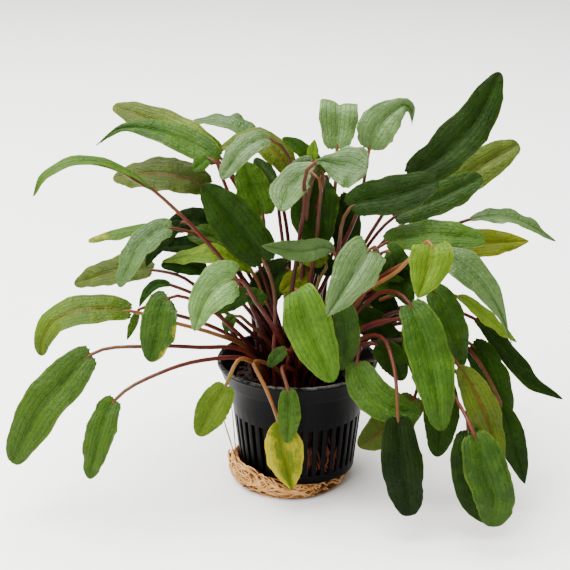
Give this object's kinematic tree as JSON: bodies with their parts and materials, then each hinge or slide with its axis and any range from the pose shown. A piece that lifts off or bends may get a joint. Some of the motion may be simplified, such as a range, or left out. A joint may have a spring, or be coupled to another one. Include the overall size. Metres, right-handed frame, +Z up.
{
  "type": "potted cryptocoryne",
  "caption": "Aquarium plant with long-stalked lance-shaped leaves arching from a crown in a black slotted net pot, standing on a flat mat of its own roots.",
  "frame": {"origin": "where the pot's axis meets the root mat's flat underside, on the surface that the plant stands on", "axes": "+Z up along the pot's axis, +X to the right as seen from the front, +Y to the back"},
  "size_m": [0.1788, 0.1301, 0.1367],
  "materials": {
    "pot_plastic": "satin black moulded plastic, finely scuffed, with a paler worn lip",
    "growing_medium": "damp dark brown peat and fibre, crumbly",
    "roots": "tan to orange-brown matted roots",
    "leaf_dark": "dark green upper surface, satin, with a sunken midrib and faint arching veins",
    "leaf_green": "mid green upper surface, satin, with a paler margin",
    "leaf_grey": "grey-green upper surface with a broad satin sheen",
    "leaf_olive": "olive green, duller, with a brown-red midrib",
    "leaf_lime": "lime green young leaf or pale underside",
    "leaf_yellow": "yellowing leaf, green along the midrib"
  },
  "bodies": {
    "root": {"pot": "pot_plastic", "growing_medium": "growing_medium", "root_mat": "roots", "leaf_top_left_back": "leaf_olive", "leaf_top_left_curled": "leaf_green", "leaf_left_arch": "leaf_green", "leaf_left_olive": "leaf_olive", "leaf_left_level": "leaf_green", "leaf_left_grey_hanging": "leaf_grey", "leaf_left_short": "leaf_olive", "leaf_left_lime_broad": "leaf_lime", "leaf_left_with_hole": "leaf_green", "leaf_left_hanging_large": "leaf_green", "leaf_left_hanging_low": "leaf_green", "leaf_over_pot_left": "leaf_lime", "leaf_over_pot_small": "leaf_green", "leaf_over_pot_yellow": "leaf_yellow", "leaf_top_grey": "leaf_grey", "leaf_top_pointing_down": "leaf_grey", "leaf_top_olive": "leaf_olive", "leaf_centre_upright": "leaf_green", "leaf_centre_left_large": "leaf_dark", "leaf_left_curled_yellow": "leaf_lime", "leaf_centre_left_pale": "leaf_grey", "leaf_top_folded": "leaf_grey", "leaf_top_wavy": "leaf_grey", "leaf_top_front_pale": "leaf_grey", "leaf_centre_grey": "leaf_grey", "leaf_centre_dark_broad": "leaf_dark", "leaf_centre_level": "leaf_grey", "leaf_centre_right_hanging": "leaf_grey", "leaf_centre_front_bright": "leaf_green", "leaf_right_level": "leaf_green", "leaf_right_behind_level": "leaf_dark", "leaf_right_small_pale": "leaf_lime", "leaf_right_grey_tailed": "leaf_grey", "leaf_right_edge_on": "leaf_lime", "leaf_right_long_dark": "leaf_dark", "leaf_right_drooping_dark": "leaf_dark", "leaf_right_low_outer": "leaf_dark", "leaf_right_red_midrib": "leaf_olive", "leaf_right_largest": "leaf_green", "leaf_behind_largest": "leaf_dark", "leaf_right_front_broad": "leaf_green", "leaf_right_behind_broad": "leaf_green", "leaf_right_dark_hanging": "leaf_dark", "leaf_hanging_beside_pot": "leaf_dark", "leaf_over_pot_right": "leaf_green", "leaf_behind_pot_right": "leaf_olive", "leaf_top_right_tall": "leaf_dark", "leaf_top_right_olive": "leaf_olive", "leaf_top_right_middle": "leaf_green", "leaf_top_right_front": "leaf_dark", "leaf_right_thin_wavy": "leaf_grey", "leaf_right_yellow": "leaf_yellow", "leaf_back_right_high": "leaf_green", "leaf_back_low_right": "leaf_olive", "leaf_back_high": "leaf_green", "leaf_back_low": "leaf_dark", "leaf_back_left_high": "leaf_green"}
  },
  "joints": []
}
